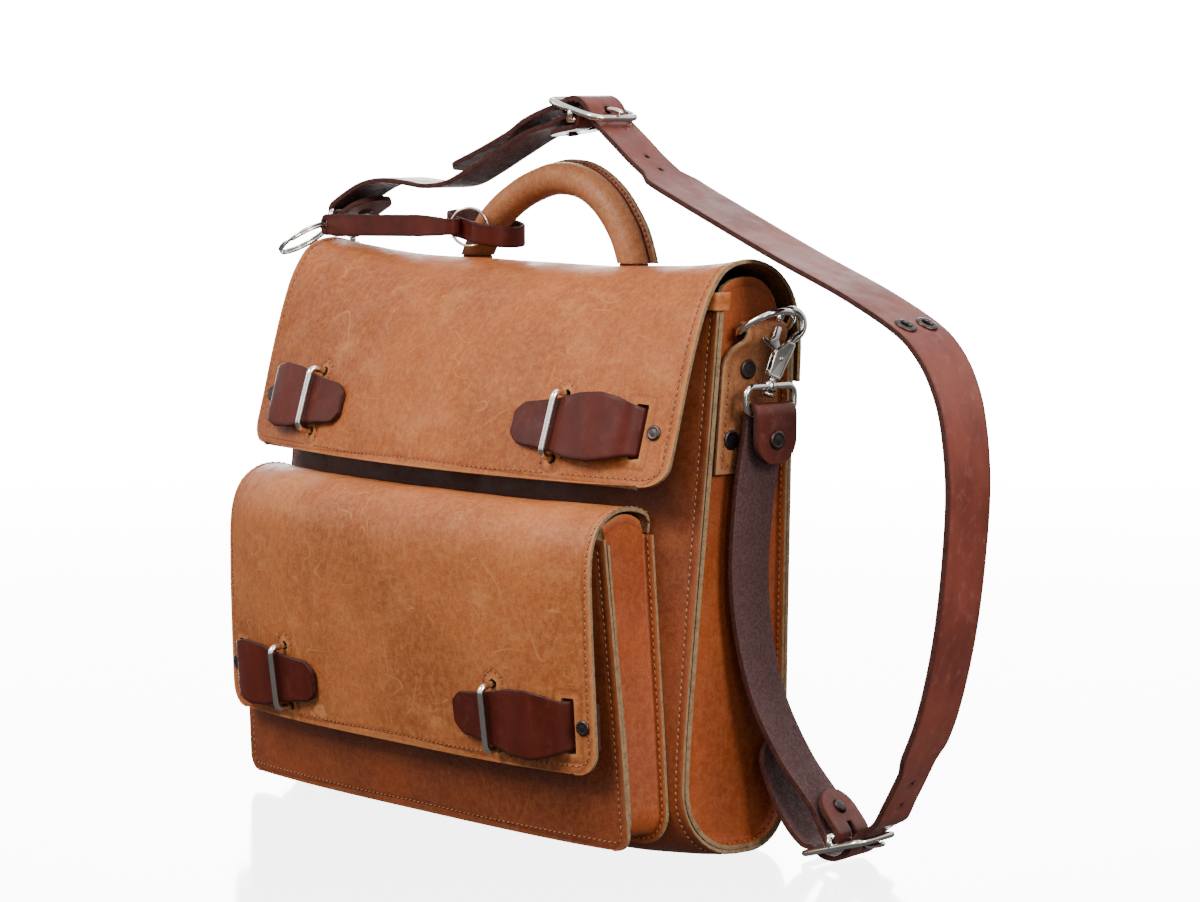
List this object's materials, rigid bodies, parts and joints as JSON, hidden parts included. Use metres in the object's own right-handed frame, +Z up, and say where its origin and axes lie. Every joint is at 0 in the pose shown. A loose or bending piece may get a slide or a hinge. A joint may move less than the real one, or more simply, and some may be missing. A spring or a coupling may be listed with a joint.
{
  "type": "leather briefcase",
  "caption": "Stuffed leather briefcase with a flap, a flapped front pocket, tongue-and-loop closures, a rolled handle, a key strap and a buckled shoulder strap on snap hooks.",
  "frame": {"origin": "on the floor under the middle of the case", "axes": "+Z up, -Y out of the front of the case, +X to the right seen from the front"},
  "size_m": [0.5585, 0.1685, 0.4203],
  "materials": {
    "tan_leather": "oiled tan leather with scuffs",
    "side_leather": "oiled tan leather, less worn",
    "dark_leather": "smooth dark brown leather",
    "strap_leather": "smooth red-brown leather, grey flesh side",
    "nickel": "polished nickel",
    "gunmetal": "dark plated steel"
  },
  "bodies": {
    "case": {"case_wrap": "tan_leather", "main_flap": "tan_leather", "pocket_front": "tan_leather", "pocket_flap": "tan_leather", "handle_grip": "tan_leather", "handle_stub_left": "tan_leather", "handle_stub_right": "tan_leather", "ring_patch_left": "tan_leather", "ring_patch_right": "tan_leather", "seam_tab_left": "tan_leather", "seam_tab_right": "tan_leather", "pocket_gusset": "side_leather", "side_panel_left": "side_leather", "side_panel_right": "side_leather", "tongue_main_left": "dark_leather", "tongue_main_right": "dark_leather", "tongue_pocket_left": "dark_leather", "tongue_pocket_right": "dark_leather", "key_band": "dark_leather", "key_strap": "dark_leather", "strap_left": "strap_leather", "strap_right": "strap_leather", "strap_shoulder": "strap_leather", "loop_main_left": "nickel", "loop_main_right": "nickel", "loop_pocket_left": "nickel", "loop_pocket_right": "nickel", "d_ring_left": "nickel", "d_ring_right": "nickel", "hook_left": "nickel", "hook_right": "nickel", "swivel_left": "nickel", "swivel_right": "nickel", "key_ring_inner": "nickel", "key_ring_outer": "nickel", "buckle_top": "nickel", "buckle_bottom": "nickel", "prong_top": "nickel", "prong_bottom": "nickel", "tongue_rivet_main_left": "gunmetal", "tongue_rivet_main_right": "gunmetal", "tongue_rivet_pocket_left": "gunmetal", "tongue_rivet_pocket_right": "gunmetal", "patch_rivet_left_upper": "gunmetal", "patch_rivet_left_lower": "gunmetal", "patch_rivet_right_upper": "gunmetal", "patch_rivet_right_lower": "gunmetal", "strap_rivet_top": "gunmetal", "strap_rivet_left": "gunmetal", "strap_rivet_bottom": "gunmetal", "strap_rivet_right": "gunmetal", "eyelet_front": "gunmetal", "eyelet_rear": "gunmetal"},
    "left_gate": {"gate_left": "nickel"},
    "right_gate": {"gate_right": "nickel"}
  },
  "joints": [
    {"name": "right_gate_hinge", "type": "hinge", "parent": "case", "child": "right_gate", "pos_m": [0.20024, 0.02177, 0.27622], "axis": [-0.9756, 0.2074, -0.0722], "range_deg": [0, 24], "stiffness_Nm_per_rad": 0.02},
    {"name": "left_gate_hinge", "type": "hinge", "parent": "case", "child": "left_gate", "pos_m": [-0.20097, 0.0304, 0.31713], "axis": [0.9767, 0.2076, -0.0538], "range_deg": [0, 24], "stiffness_Nm_per_rad": 0.02}
  ]
}
